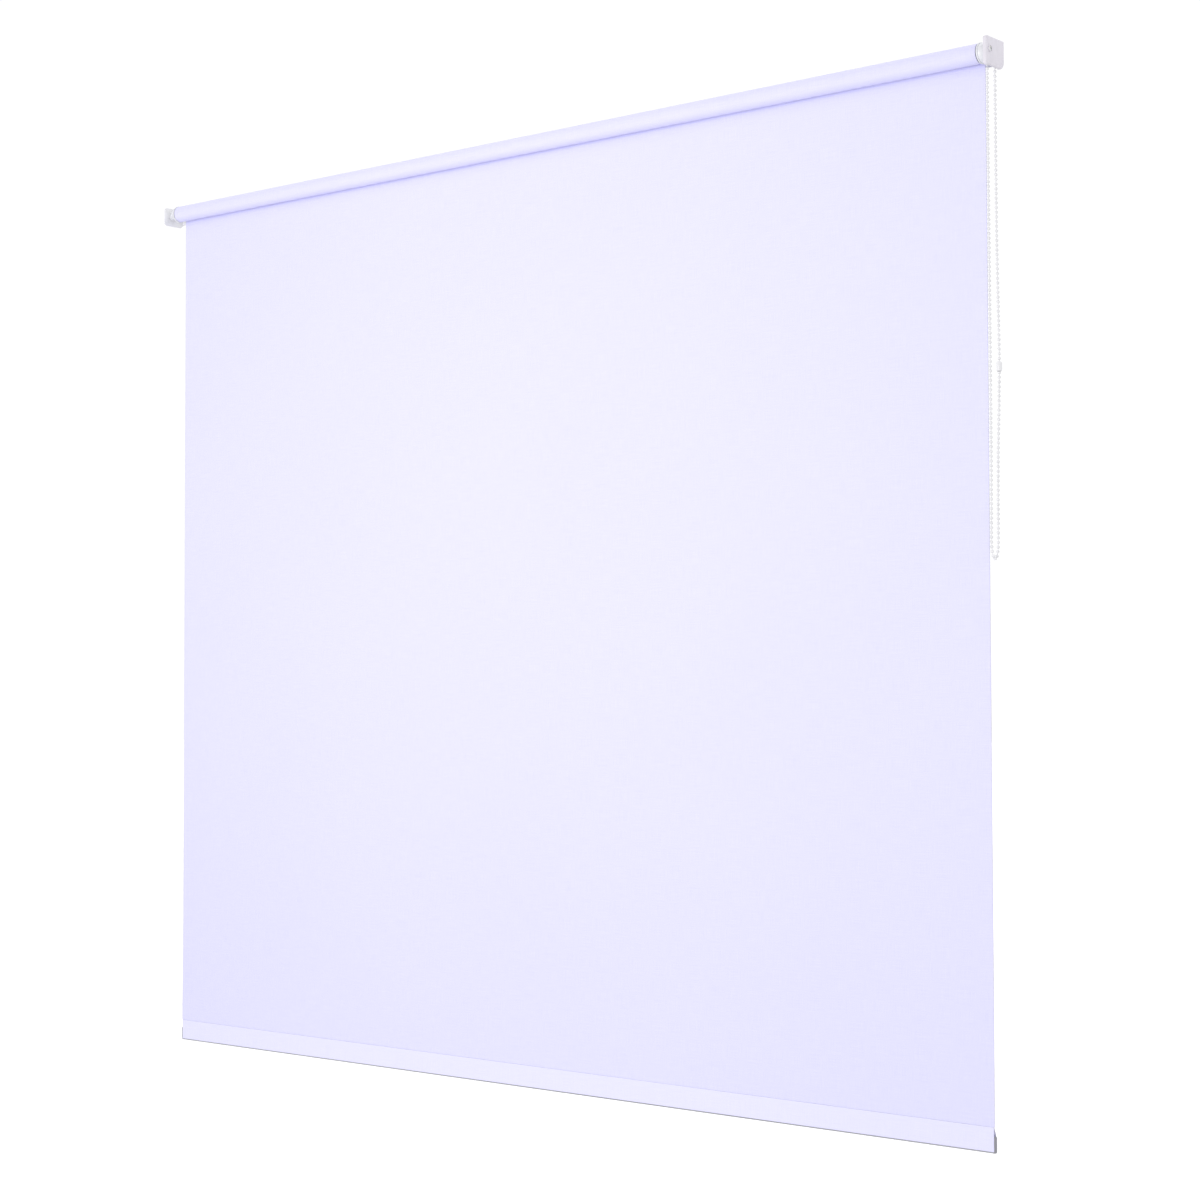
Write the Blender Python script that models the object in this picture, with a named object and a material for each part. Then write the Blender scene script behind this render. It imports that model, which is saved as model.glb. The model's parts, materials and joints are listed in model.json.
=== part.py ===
"""Roller blind: a spring-clutch roller on two wall brackets, with a hanging cloth and a bead chain.

Metres. +X runs along the roller to the drive side, +Y to the wall, +Z up. The origin is on the
wall, on the drive bracket's flange, level with the roller's axis. The cloth is shown lowered.
"""

from math import cos, pi, radians, sin, sqrt

import bmesh
import bpy
from mathutils import Matrix, Vector

# Overall sizes.
cloth_width = 1.556  # which gives 1.6 m over the drive cover and the idle bracket
drop = 1.391  # from the roller's axis to the bottom of the hem rail
axis_to_wall = 0.024
cover_offset = 0.022  # from the cloth's edge out to the cover's outer face
seat_gap = 0.0003  # between pieces that touch
play = 0.0004  # round pieces that turn in each other, measured on the radius

# Cloth and roller.
cloth_thickness = 0.00045
wound_length = 0.12  # cloth that stays on the tube when the blind is down
tube_radius = 0.0115
tube_wall = 0.0012
tube_overhang = 0.001  # tube beyond the cloth at each end
tape_width = 0.012
tape_thickness = 0.0004
tape_angle = 210.0  # where the tape lies round the tube, in degrees

# Ends that plug into the tube.
rib_height = 0.0008
rib_width = 0.0022
rib_count = 8
plug_length = 0.038
flange_lip = 0.0014  # how far the flanges stand past the wound cloth
flange_thickness = 0.002
shoulder_radius = 0.0128
shoulder_length = 0.0088

# Clutch.
spindle_radius = 0.0052
spindle_reach = 0.047  # from the bracket's plate into the tube
spindle_groove = 0.0011
spindle_square = 0.0084
spring_wire = 0.0012
spring_turns = 9
spring_pitch = 0.0014
wheel_pockets = 10
bead_diameter = 0.0045
bead_pitch = 0.006
wheel_width = 0.0064
pocket_rim = 0.0005  # the rim left beside each pocket for a bead
wheel_lip = 0.0008  # how far the wheel's rims stand past the beads' middles
chain_offset = 0.0155  # from the cloth's edge to the chain's plane
clip_thickness = 0.0009
clip_width = 0.0028

# Brackets and covers.
plate_thickness = 0.0013
plate_front = 0.0175
plate_top = 0.0115
plate_bottom = 0.0185
plate_corner = 0.005
wall_flange_width = 0.029
wall_flange_height = 0.026
slot_width = 0.0044
slot_length = 0.010
slot_spacing = 0.0165
cover_front = 0.022
cover_back_gap = 0.0018  # between the cover's open back and the wall
cover_top = 0.0163
cover_bottom = 0.021
cover_depth = 0.0052  # along the roller
cover_wall = 0.0014
cover_corner = 0.004
cover_back_corner = 0.0095
cover_edge = 0.0016
exit_front = 0.0178  # the chain's way out runs from here, ahead of the axis
exit_back = 0.0142
hood_radius = 0.0156  # round hood over the chain wheel
hood_wall = 0.0015
hood_low = 0.003  # the hood is open below this, for the chain to swing
screw_offset = 0.0137  # cover screw, ahead of the axis
boss_radius = 0.0046
boss_height = 0.0013
screw_head_radius = 0.0031
screw_head_height = 0.0016
screw_shank_radius = 0.0013
screw_slot_width = 0.0009
screw_slot_depth = 0.0007

# Sprung idle end.
pin_radius = 0.0028
pin_tip_gap = 0.0025  # from the pin's tip to the bracket plate's outer face
pin_travel = 0.009
pin_collar_radius = 0.0048
pin_floor_thickness = 0.0025
pin_collar_length = 0.002
pin_tail_room = 0.0115  # left behind the pin's tail when it is pushed right in
bush_radius = 0.0062
bush_length = 0.0062
bush_rim_radius = 0.0076
bush_rim = 0.0011
pin_spring_wire = 0.0007
pin_spring_turns = 7

# Hem rail.
pocket_height = 0.033
pocket_neck = 0.0008  # how far apart the pocket's two layers are at the top
rail_height = 0.0212
rail_thickness = 0.0034
rail_wall = 0.0009
ridge_height = 0.0014
cap_thickness = 0.0014
cap_plug_length = 0.012

# Chain: its route, ahead of (-) or behind (+) the axis and below (-) or above it, in millimetres.
chain_route = (
    (-0.35, 9.54), (-5.0, 8.14), (-8.3, 4.72), (-9.55, 0.3), (-9.55, -14),
    (-9.6, -40), (-9.5, -80), (-9.2, -130), (-9.0, -185), (-8.7, -245), (-8.4, -310),
    (-8.2, -375), (-8.0, -440), (-8.0, -500), (-8.2, -555), (-8.7, -600), (-8.9, -622),
    (-7.4, -635), (-3.6, -643.2), (1.4, -644), (5.4, -638.4), (7.6, -627), (8.0, -606),
    (8.3, -560), (9.6, -505), (12.3, -450), (13.9, -400), (13.4, -350), (11.7, -295),
    (10.4, -240), (9.9, -185), (9.7, -130), (9.6, -80), (9.55, -40), (9.55, -14),
    (9.55, 0.3), (8.3, 4.72), (5.0, 8.14), (0.35, 9.54),
)
joiner_length = 0.012
joiner_radius = 0.0036
joiner_height = 0.400  # below the axis, on the strand nearest the wall

# Places that follow from the sizes above.
roll_radius = sqrt((tube_radius + seat_gap) ** 2 + wound_length * cloth_thickness / pi)
flange_radius = roll_radius + flange_lip
bore_radius = tube_radius - tube_wall
wheel_pitch_radius = wheel_pockets * bead_pitch / (2 * pi)
plate_outside = cover_offset - cover_wall - seat_gap
plate_inside = plate_outside - plate_thickness
cloth_edge = wall_flange_width / 2 - plate_outside  # drive edge of the cloth, along X
idle_edge = cloth_edge - cloth_width
cloth_behind = roll_radius + seat_gap + cloth_thickness / 2  # cloth's plane behind the axis
flange_inside = tube_overhang + seat_gap
crown_outside = flange_inside + flange_thickness + shoulder_length
wheel_inside = chain_offset - wheel_width / 2
wheel_outside = chain_offset + wheel_width / 2
crown_bore = spindle_radius + play + spring_wire + play
pin_floor = tube_overhang - plug_length + pin_floor_thickness  # where the pin's spring sits
pocket_top = -drop + pocket_height
hem_half = rail_thickness / 2 + seat_gap + cloth_thickness
hem_behind = cloth_behind - cloth_thickness / 2 + hem_half  # the pocket's face is flush with the cloth
axis_point = Vector((0.0, -axis_to_wall, 0.0))


def clear_scene():
    for old in list(bpy.data.objects):
        bpy.data.objects.remove(old, do_unlink=True)


def make_material(name, colour, roughness, metallic=0.0):
    """One Principled finish, with its colour in linear RGB."""
    material = bpy.data.materials.new(name)
    material.use_nodes = True
    shader = material.node_tree.nodes["Principled BSDF"]
    shader.inputs["Base Color"].default_value = (*colour, 1.0)
    shader.inputs["Roughness"].default_value = roughness
    shader.inputs["Metallic"].default_value = metallic
    return material


def make_empty(name, place, parent=None):
    """A mark on a joint's axis that the pieces turning or sliding there hang from."""
    empty = bpy.data.objects.new(name, None)
    empty.parent = parent
    empty.location = place
    empty.empty_display_size = 0.02
    bpy.context.collection.objects.link(empty)
    return empty


def finish(name, bm, material, parent, smooth_angle=35.0):
    """Turns a bmesh into a named object under its empty, facing out and smooth where round."""
    bmesh.ops.remove_doubles(bm, verts=bm.verts, dist=1e-6)
    bmesh.ops.recalc_face_normals(bm, faces=bm.faces)
    mesh = bpy.data.meshes.new(name)
    bm.to_mesh(mesh)
    bm.free()
    mesh.shade_smooth()
    mesh.set_sharp_from_angle(angle=radians(smooth_angle))
    thing = bpy.data.objects.new(name, mesh)
    bpy.context.collection.objects.link(thing)
    if material:
        mesh.materials.append(material)
    thing.parent = parent
    return thing


def boolean(thing, tool, operation):
    """Cuts or joins with a guide piece, which stays out of the build."""
    tool.parent = thing.parent
    tool.hide_render = True
    tool.display_type = "WIRE"
    change = thing.modifiers.new(tool.name, "BOOLEAN")
    change.operation = operation
    change.solver = "EXACT"
    change.object = tool


def turned(profile, steps=48, closed=False):
    """A body of revolution about X from (x, radius) points; open profiles end on the axis."""
    bm = bmesh.new()
    points = [bm.verts.new((x, 0.0, r)) for x, r in profile]
    last = points + points[:1] if closed else points
    edges = [bm.edges.new(pair) for pair in zip(last, last[1:])]
    bmesh.ops.spin(bm, geom=points + edges, cent=(0, 0, 0), axis=(1, 0, 0),
                   angle=2 * pi, steps=steps, use_merge=True, use_duplicate=False)
    return bm


def ring(x0, x1, outer, inner, steps=48):
    """A plain sleeve between two places along X."""
    return turned([(x0, inner), (x0, outer), (x1, outer), (x1, inner)], steps, closed=True)


def rod(x0, x1, radius, steps=32):
    """A plain solid rod between two places along X."""
    return turned([(x0, 0.0), (x0, radius), (x1, radius), (x1, 0.0)], steps)


def rounded_outline(low, high, corners, steps=6):
    """A rectangle's (y, z) points with its own radius at each corner, from low-left round."""
    (y0, z0), (y1, z1) = low, high
    centres = ((y0, z0, 1, 1), (y1, z0, -1, 1), (y1, z1, -1, -1), (y0, z1, 1, -1))
    points = []
    for turn, ((y, z, to_y, to_z), radius) in enumerate(zip(centres, corners)):
        if radius <= 0:
            points.append((y, z))
            continue
        for step in range(steps + 1):
            angle = pi + turn * pi / 2 + step / steps * pi / 2
            middle_y = y + to_y * radius
            middle_z = z + to_z * radius
            points.append((middle_y + radius * cos(angle), middle_z + radius * sin(angle)))
    return points


def extruded(outline, x0, x1):
    """A solid of one (y, z) outline between two places along X."""
    bm = bmesh.new()
    face = bm.faces.new([bm.verts.new((x0, y, z)) for y, z in outline])
    swept = bmesh.ops.extrude_face_region(bm, geom=[face])["geom"]
    corners = [v for v in swept if isinstance(v, bmesh.types.BMVert)]
    bmesh.ops.translate(bm, verts=corners, vec=(x1 - x0, 0, 0))
    return bm


def block(low, high):
    """A box between two corners."""
    bm = bmesh.new()
    bmesh.ops.create_cube(bm, size=1.0)
    size = Vector(high) - Vector(low)
    bmesh.ops.scale(bm, verts=bm.verts, vec=size)
    bmesh.ops.translate(bm, verts=bm.verts, vec=(Vector(high) + Vector(low)) / 2)
    return bm


def round_edges(bm, x, width, steps=3):
    """Rounds the rim of the face that lies at one place along X."""
    bm.normal_update()
    rim = [e for e in bm.edges
           if all(abs(v.co.x - x) < 1e-7 for v in e.verts)
           and any(abs(f.normal.x) < 0.5 for f in e.link_faces)]
    bmesh.ops.bevel(bm, geom=rim, offset=width, segments=steps, profile=0.5,
                    affect="EDGES", clamp_overlap=True, material=-1)


def facing(bm, side):
    """Turns over a piece made for the drive end (1) when it is for the idle end (-1)."""
    if side < 0:
        bmesh.ops.scale(bm, verts=bm.verts, vec=(-1, 1, 1))
    return bm


def shifted(bm, y=0.0, z=0.0):
    bmesh.ops.translate(bm, verts=bm.verts, vec=(0, y, z))
    return bm


def coil(name, x0, radius, wire, turns, pitch, material, parent, sides=1, per_turn=10):
    """A helical spring about X, as one round-wired curve with closed ends."""
    curve = bpy.data.curves.new(name, "CURVE")
    curve.dimensions = "3D"
    curve.bevel_depth = wire / 2
    curve.bevel_resolution = sides
    curve.use_fill_caps = True
    count = int(turns * per_turn) + 1
    spline = curve.splines.new("POLY")
    spline.points.add(count - 1)
    for i, point in enumerate(spline.points):
        angle = 2 * pi * i / per_turn
        x = x0 + pitch * i / per_turn
        point.co = (x, radius * cos(angle), radius * sin(angle), 1.0)
    thing = bpy.data.objects.new(name, curve)
    bpy.context.collection.objects.link(thing)
    curve.materials.append(material)
    thing.parent = parent
    return thing


def smooth_route(points, between):
    """Points along a smooth curve that passes through every point of a route."""
    route = [Vector(p) for p in points]
    ends = [2 * route[0] - route[1], *route, 2 * route[-1] - route[-2]]
    found = []
    for a, b, c, d in zip(ends, ends[1:], ends[2:], ends[3:]):
        for step in range(between):
            t = step / between
            found.append(0.5 * (2 * b + (c - a) * t + (2 * a - 5 * b + 4 * c - d) * t * t
                                + (3 * b - a - 3 * c + d) * t ** 3))
    return [*found, route[-1]]


def add_bracket(name, side, round_seat, material, parent):
    """A folded plate: a slotted flange on the wall, and a side plate with the roller's seat.

    The seat is square for the clutch's spindle, unless it has a radius of its own.
    """
    back = axis_to_wall - plate_thickness
    half = wall_flange_height / 2
    steps = 6
    outline = rounded_outline((-plate_front, -plate_bottom), (back - 0.006, plate_top),
                              (plate_corner, 0, 0, plate_corner), steps)
    behind = steps + 2  # the front's lower corner and the lower back point come first
    outline[behind:behind] = [(axis_to_wall, -half), (axis_to_wall, half)]
    plate = extruded(outline, plate_inside, plate_outside)
    thing = finish(name, facing(plate, side), material, parent)
    flange = block((plate_outside - wall_flange_width, back, -half),
                   (plate_inside + plate_thickness / 2, axis_to_wall, half))
    boolean(thing, finish(name + "_flange", facing(flange, side), None, parent), "UNION")
    middle = plate_outside - wall_flange_width / 2
    for i, z in enumerate((-slot_spacing / 2, slot_spacing / 2)):
        reach = slot_length / 2 - slot_width / 2
        slot = bmesh.new()
        bmesh.ops.create_cone(slot, cap_ends=True, segments=24, radius1=slot_width / 2,
                              radius2=slot_width / 2, depth=4 * plate_thickness,
                              matrix=Matrix.Rotation(pi / 2, 4, "X"))
        for v in slot.verts:
            v.co.x += reach if v.co.x > 1e-6 else -reach if v.co.x < -1e-6 else 0.0
        bmesh.ops.translate(slot, verts=slot.verts, vec=(middle, axis_to_wall, z))
        cutter = finish(f"{name}_slot_{i}", facing(slot, side), None, parent)
        boolean(thing, cutter, "DIFFERENCE")
    if round_seat is None:
        screw_hole = shifted(rod(plate_inside - 0.001, plate_outside + 0.001,
                                 screw_shank_radius + seat_gap, 24), y=-screw_offset)
        hole = finish(name + "_screw_hole", facing(screw_hole, side), None, parent)
        boolean(thing, hole, "DIFFERENCE")
        half_square = spindle_square / 2 + seat_gap
        seat = block((plate_inside - 0.001, -half_square, -half_square),
                     (plate_outside + 0.001, half_square, half_square))
    else:
        seat = rod(plate_inside - 0.001, plate_outside + 0.001, round_seat, 32)
    cutter = finish(name + "_seat", facing(seat, side), None, parent)
    boolean(thing, cutter, "DIFFERENCE")
    return thing


def add_cover(name, side, material, parent):
    """A shell over the bracket's plate, open to the roller and wall, with a hood over the wheel."""
    inside = cover_offset - cover_depth
    back = axis_to_wall - cover_back_gap
    low = (-cover_front, -cover_bottom)
    high = (back, cover_top)
    radii = (cover_corner, cover_back_corner, cover_corner / 2, cover_corner)
    shell = extruded(rounded_outline(low, high, radii), inside, cover_offset)
    round_edges(shell, cover_offset, cover_edge)
    thing = finish(name, facing(shell, side), material, parent)
    hollow_low = (-cover_front + cover_wall, -cover_bottom + cover_wall)
    hollow_high = (back + 0.01, cover_top - cover_wall)
    hollow_radii = (cover_corner - cover_wall, 0, 0, cover_corner - cover_wall)
    hollow = extruded(rounded_outline(hollow_low, hollow_high, hollow_radii),
                      inside - 0.001, cover_offset - cover_wall)
    cutter = finish(name + "_hollow", facing(hollow, side), None, parent)
    boolean(thing, cutter, "DIFFERENCE")
    way = block((inside - 0.001, -exit_front, -cover_bottom - 0.001),
                (plate_inside + seat_gap, exit_back, -cover_bottom + 2 * cover_wall))
    boolean(thing, finish(name + "_exit", way, None, parent), "DIFFERENCE")
    hood = finish(name + "_hood", ring(crown_outside + 2 * seat_gap, inside + hood_wall,
                                       hood_radius, hood_radius - hood_wall, 48), None, parent)
    below = block((crown_outside - 0.001, -2 * hood_radius, -2 * hood_radius),
                  (inside + 2 * hood_wall, 2 * hood_radius, -hood_low))
    boolean(hood, finish(name + "_below", below, None, parent), "DIFFERENCE")
    boolean(thing, hood, "UNION")
    boss = shifted(rod(cover_offset - cover_wall / 2, cover_offset + boss_height,
                       boss_radius, 40), y=-screw_offset)
    round_edges(boss, cover_offset + boss_height, boss_height / 2, 2)
    boolean(thing, finish(name + "_boss", facing(boss, side), None, parent), "UNION")
    seat = turned([(cover_offset - cover_wall - 0.001, 0.0),
                   (cover_offset - cover_wall - 0.001, screw_shank_radius + seat_gap),
                   (cover_offset - seat_gap, screw_shank_radius + seat_gap),
                   (cover_offset - seat_gap, screw_head_radius + seat_gap),
                   (cover_offset + boss_height + 0.001, screw_head_radius + seat_gap),
                   (cover_offset + boss_height + 0.001, 0.0)], 32)
    cutter = finish(name + "_screw_seat", facing(shifted(seat, y=-screw_offset), side),
                    None, parent)
    boolean(thing, cutter, "DIFFERENCE")
    return thing


def add_screw(name, side, material, parent):
    """A slotted pan-head screw that holds the cover to the bracket's plate."""
    tip = plate_inside + seat_gap
    seat = cover_offset
    head = seat + screw_head_height
    screw = turned([(tip, 0.0), (tip, screw_shank_radius), (seat, screw_shank_radius),
                    (seat, screw_head_radius), (head - 0.0006, screw_head_radius),
                    (head, screw_head_radius - 0.0008), (head, 0.0)], 32)
    thing = finish(name, facing(shifted(screw, y=-screw_offset), side), material, parent)
    for i, (wide, tall) in enumerate(((screw_slot_width, 0.0042), (0.0042, screw_slot_width))):
        slot = block((head - screw_slot_depth, -screw_offset - wide / 2, -tall / 2),
                     (head + 0.001, -screw_offset + wide / 2, tall / 2))
        cutter = finish(f"{name}_slot_{i}", facing(slot, side), None, parent)
        boolean(thing, cutter, "DIFFERENCE")
    return thing


def add_tube_end(name, side, profile, material, parent):
    """A plug that grips the tube with ribs, with its own turned body."""
    thing = finish(name, facing(turned(profile, 48, closed=True), side), material, parent)
    rib_root = bore_radius - seat_gap - rib_height
    for i in range(rib_count):
        rib = block((tube_overhang - plug_length + 0.003, -rib_width / 2, rib_root - 0.0006),
                    (tube_overhang - 0.0006, rib_width / 2, rib_root + rib_height - 0.0001))
        bmesh.ops.rotate(rib, verts=rib.verts, cent=(0, 0, 0),
                         matrix=Matrix.Rotation(2 * pi * i / rib_count, 3, "X"))
        tool = finish(f"{name}_rib_{i}", facing(rib, side), None, parent)
        boolean(thing, tool, "UNION")
    return thing


def add_roller(finishes, parent, drive_end, idle_end):
    """The tube with the wound cloth, its tape and the two ends that turn with it."""
    start = idle_edge - tube_overhang
    end = cloth_edge + tube_overhang
    finish("roller_tube", ring(start, end, tube_radius, bore_radius, 64),
           finishes["tube"], parent)
    roll = finish("fabric_roll", ring(idle_edge, cloth_edge, roll_radius,
                                      tube_radius + seat_gap, 96), finishes["cloth"], parent)
    half_turn = tape_width / 2 / tube_radius
    for name, low, high, spread, reach, material in (
        ("tape_recess", seat_gap - 0.0001, 2 * seat_gap + tape_thickness, 0.03, 0.001, None),
        ("fixing_tape", seat_gap, seat_gap + tape_thickness, 0.0, -0.004, finishes["tape"]),
    ):
        steps = 8
        turn = half_turn + spread
        angles = [radians(tape_angle) - turn + 2 * turn * i / steps for i in range(steps + 1)]
        arc = [((tube_radius + low) * cos(a), (tube_radius + low) * sin(a)) for a in angles]
        arc += [((tube_radius + high) * cos(a), (tube_radius + high) * sin(a))
                for a in reversed(angles)]
        strip = finish(name, extruded(arc, idle_edge - reach, cloth_edge + reach),
                       material, parent)
        if material is None:
            boolean(roll, strip, "DIFFERENCE")
    rib_root = bore_radius - seat_gap - rib_height
    add_tube_end("drive_crown", 1, [
        (tube_overhang - plug_length, crown_bore), (tube_overhang - plug_length, rib_root),
        (flange_inside, rib_root), (flange_inside, flange_radius - 0.0004),
        (flange_inside + 0.0004, flange_radius),
        (flange_inside + flange_thickness - 0.0004, flange_radius),
        (flange_inside + flange_thickness, flange_radius - 0.0004),
        (flange_inside + flange_thickness, shoulder_radius),
        (crown_outside - 0.0008, shoulder_radius), (crown_outside, shoulder_radius - 0.0008),
        (crown_outside, crown_bore),
    ], finishes["white plastic"], drive_end)
    guide = pin_radius + play
    room = pin_collar_radius + play
    add_tube_end("idle_plug", -1, [
        (tube_overhang - plug_length, guide), (tube_overhang - plug_length, rib_root),
        (flange_inside, rib_root), (flange_inside, flange_radius - 0.0004),
        (flange_inside + 0.0004, flange_radius),
        (flange_inside + flange_thickness - 0.0004, flange_radius),
        (flange_inside + flange_thickness, flange_radius - 0.0004),
        (flange_inside + flange_thickness, 0.0062), (flange_inside + 0.0045, 0.0062),
        (flange_inside + 0.0045, guide), (0.0, guide), (0.0, room),
        (pin_floor, room), (pin_floor, guide),
    ], finishes["white plastic"], idle_end)


def add_clutch(finishes, still, turning):
    """The fixed spindle with its clip, and the wheel and springs that turn round it."""
    tail = plate_inside - spindle_reach
    groove = tail + 0.0015
    rim = plate_inside - seat_gap
    spindle = turned([
        (tail, 0.0), (tail, spindle_radius), (groove, spindle_radius),
        (groove, spindle_radius - spindle_groove),
        (groove + clip_thickness + 2 * seat_gap, spindle_radius - spindle_groove),
        (groove + clip_thickness + 2 * seat_gap, spindle_radius),
        (rim, spindle_radius), (rim, 0.0),
    ], 40)
    thing = finish("clutch_spindle", spindle, finishes["hub"], still)
    half = spindle_square / 2
    key = block((rim - 0.0004, -half, -half), (plate_outside, half, half))
    for e in [e for e in key.edges if abs(e.verts[0].co.x - e.verts[1].co.x) > 1e-6]:
        e.select = True
    bmesh.ops.bevel(key, geom=[e for e in key.edges if e.select], offset=0.0008, segments=2,
                    profile=0.5, affect="EDGES", clamp_overlap=True, material=-1)
    tool = finish("spindle_key", key, None, still)
    boolean(thing, tool, "UNION")

    clip_low = groove + seat_gap
    clip = finish("spindle_clip", facing(ring(
        clip_low, clip_low + clip_thickness, spindle_radius - spindle_groove + clip_width,
        spindle_radius - spindle_groove + seat_gap, 32), 1), finishes["steel"], still)
    gap = block((clip_low - 0.001, 0.0, -0.0028), (clip_low + clip_thickness + 0.001, 0.01, 0.0028))
    cutter = finish("clip_mouth", gap, None, still)
    boolean(clip, cutter, "DIFFERENCE")

    groove_radius = bead_diameter / 2 + seat_gap
    rim_radius = wheel_pitch_radius + wheel_lip
    arc = [(chain_offset - groove_radius * cos(pi * step / 6),
            wheel_pitch_radius - groove_radius * sin(pi * step / 6)) for step in range(7)]
    profile = [(wheel_inside, spindle_radius + play), (wheel_inside, rim_radius)]
    profile += [(chain_offset - groove_radius, rim_radius)] + arc
    profile += [(chain_offset + groove_radius, rim_radius), (wheel_outside, rim_radius),
                (wheel_outside, spindle_radius + play)]
    wheel = finish("chain_wheel", turned(profile, 40, closed=True), finishes["hub"], turning)
    half = wheel_width / 2 - pocket_rim
    for i in range(wheel_pockets):
        pocket = shifted(rod(chain_offset - half, chain_offset + half,
                             bead_diameter / 2 + 2 * seat_gap, 12), z=wheel_pitch_radius)
        angle = 2 * pi * (i + 0.5) / wheel_pockets
        bmesh.ops.rotate(pocket, verts=pocket.verts, cent=(0, 0, 0),
                         matrix=Matrix.Rotation(angle, 3, "X"))
        boolean(wheel, finish(f"wheel_pocket_{i}", pocket, None, turning), "DIFFERENCE")

    radius = spindle_radius + play + spring_wire / 2
    spring_start = groove + clip_thickness + spring_wire
    spring_step = spring_turns * spring_pitch + 2 * spring_wire
    for i, name in enumerate(("inner_wrap_spring", "outer_wrap_spring")):
        x0 = spring_start + i * spring_step
        coil(name, x0, radius, spring_wire, spring_turns, spring_pitch, finishes["spring"], turning)


def add_idle_pin(finishes, still, turning, sliding):
    """The sprung pin in the idle plug, its spring, and the bush that it turns in."""
    tip = plate_outside - pin_tip_gap
    stop = -seat_gap
    tail = pin_floor + pin_tail_room + pin_travel
    pin = turned([
        (tail, 0.0), (tail, pin_radius - 0.0008),
        (-pin_collar_length + stop, pin_radius - 0.0008),
        (-pin_collar_length + stop, pin_collar_radius), (stop, pin_collar_radius),
        (stop, pin_radius), (tip - 0.001, pin_radius), (tip, pin_radius - 0.001), (tip, 0.0),
    ], 32)
    finish("idle_pin", facing(pin, -1), finishes["steel"], sliding)
    low = pin_floor + seat_gap
    high = -pin_collar_length + stop - seat_gap
    radius = pin_radius + play + pin_spring_wire / 2
    length = high - low - pin_spring_wire
    coil("pin_spring", pin_spring_wire / 2 - high, radius, pin_spring_wire,
         pin_spring_turns, length / pin_spring_turns, finishes["spring"], turning)
    bush = turned([
        (plate_outside - bush_length, pin_radius + play),
        (plate_outside - bush_length, bush_radius - seat_gap - 0.0003),
        (plate_inside - seat_gap - bush_rim, bush_radius - seat_gap),
        (plate_inside - seat_gap - bush_rim, bush_rim_radius),
        (plate_inside - seat_gap, bush_rim_radius),
        (plate_inside - seat_gap, bush_radius - seat_gap),
        (plate_outside, bush_radius - seat_gap), (plate_outside, pin_radius + play),
    ], 40, closed=True)
    finish("pin_bush", facing(bush, -1), finishes["hub"], still)


def add_hem(finishes, parent):
    """The hollow rail, the cloth round it and its two end caps, under an empty at the rail."""
    half = rail_thickness / 2
    skin = seat_gap + cloth_thickness
    inner = (half - rail_wall) * 0.98
    body_low = ridge_height
    body_high = rail_height - skin
    top = pocket_height
    rail_outline = rounded_outline((-half, 0.0), (half, body_high), (half * 0.5, half * 0.5,
                                                                   half * 0.98, half * 0.98))
    start = idle_edge + cap_thickness / 2 + seat_gap
    end = cloth_edge - cap_thickness / 2 - seat_gap
    rail = finish("hem_rail", extruded(rail_outline, start, end), finishes["rail"], parent)
    ridge_outline = rounded_outline((-half - skin, 0.0), (half + skin, ridge_height),
                                    (ridge_height * 0.7, ridge_height * 0.7, 0.0003, 0.0003), 4)
    ridge = finish("rail_ridge", extruded(ridge_outline, start, end), None, parent)
    boolean(rail, ridge, "UNION")
    hollow_outline = rounded_outline((-half + rail_wall, body_low + rail_wall),
                                     (half - rail_wall, body_high - rail_wall),
                                     (inner, inner, inner, inner))
    hollow = finish("rail_hollow", extruded(hollow_outline, start - 0.01, end + 0.01),
                    None, parent)
    boolean(rail, hollow, "DIFFERENCE")

    wrap_low = ridge_height + seat_gap
    outer = half + skin
    inside = half + seat_gap
    wrap_outline = [(-outer, wrap_low), (outer, wrap_low), (outer, rail_height),
                    (-outer + pocket_neck + 2 * cloth_thickness, top), (-outer, top)]
    wrap = finish("hem_pocket", extruded(wrap_outline, start, end), finishes["cloth"], parent)
    core_outline = [(-inside, wrap_low - 0.01), (inside, wrap_low - 0.01), (inside, rail_height),
                    (-inside + pocket_neck, top - cloth_thickness),
                    (-inside, top - cloth_thickness)]
    core = finish("pocket_core", extruded(core_outline, start - 0.01, end + 0.01), None, parent)
    boolean(wrap, core, "DIFFERENCE")

    for name, side, edge in (("hem_cap_drive", 1, cloth_edge), ("hem_cap_idle", -1, idle_edge)):
        end_mark = make_empty(name + "_mark", (edge, 0, 0), parent)
        cap_outline = rounded_outline((-outer, 0.0), (outer, rail_height),
                                      (outer * 0.9,) * 4)
        cap = extruded(cap_outline, -cap_thickness / 2, cap_thickness / 2)
        round_edges(cap, cap_thickness / 2, 0.0007, 2)
        thing = finish(name, facing(cap, side), finishes["cap"], end_mark)
        plug_half = half - rail_wall - seat_gap
        plug_outline = rounded_outline((-plug_half, body_low + rail_wall + seat_gap),
                                       (plug_half, body_high - rail_wall - seat_gap),
                                       (plug_half * 0.98,) * 4)
        plug = extruded(plug_outline, -cap_thickness / 2 - cap_plug_length, 0.0)
        boolean(thing, finish(name + "_plug", facing(plug, side), None, end_mark), "UNION")


def add_sheet(finishes, parent):
    """The hanging cloth, from where it leaves the back of the roll down to the hem."""
    low = (idle_edge, cloth_behind - cloth_thickness / 2, pocket_top + seat_gap)
    high = (cloth_edge, cloth_behind + cloth_thickness / 2, 0.0)
    finish("fabric_sheet", block(low, high), finishes["cloth"], parent)


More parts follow.
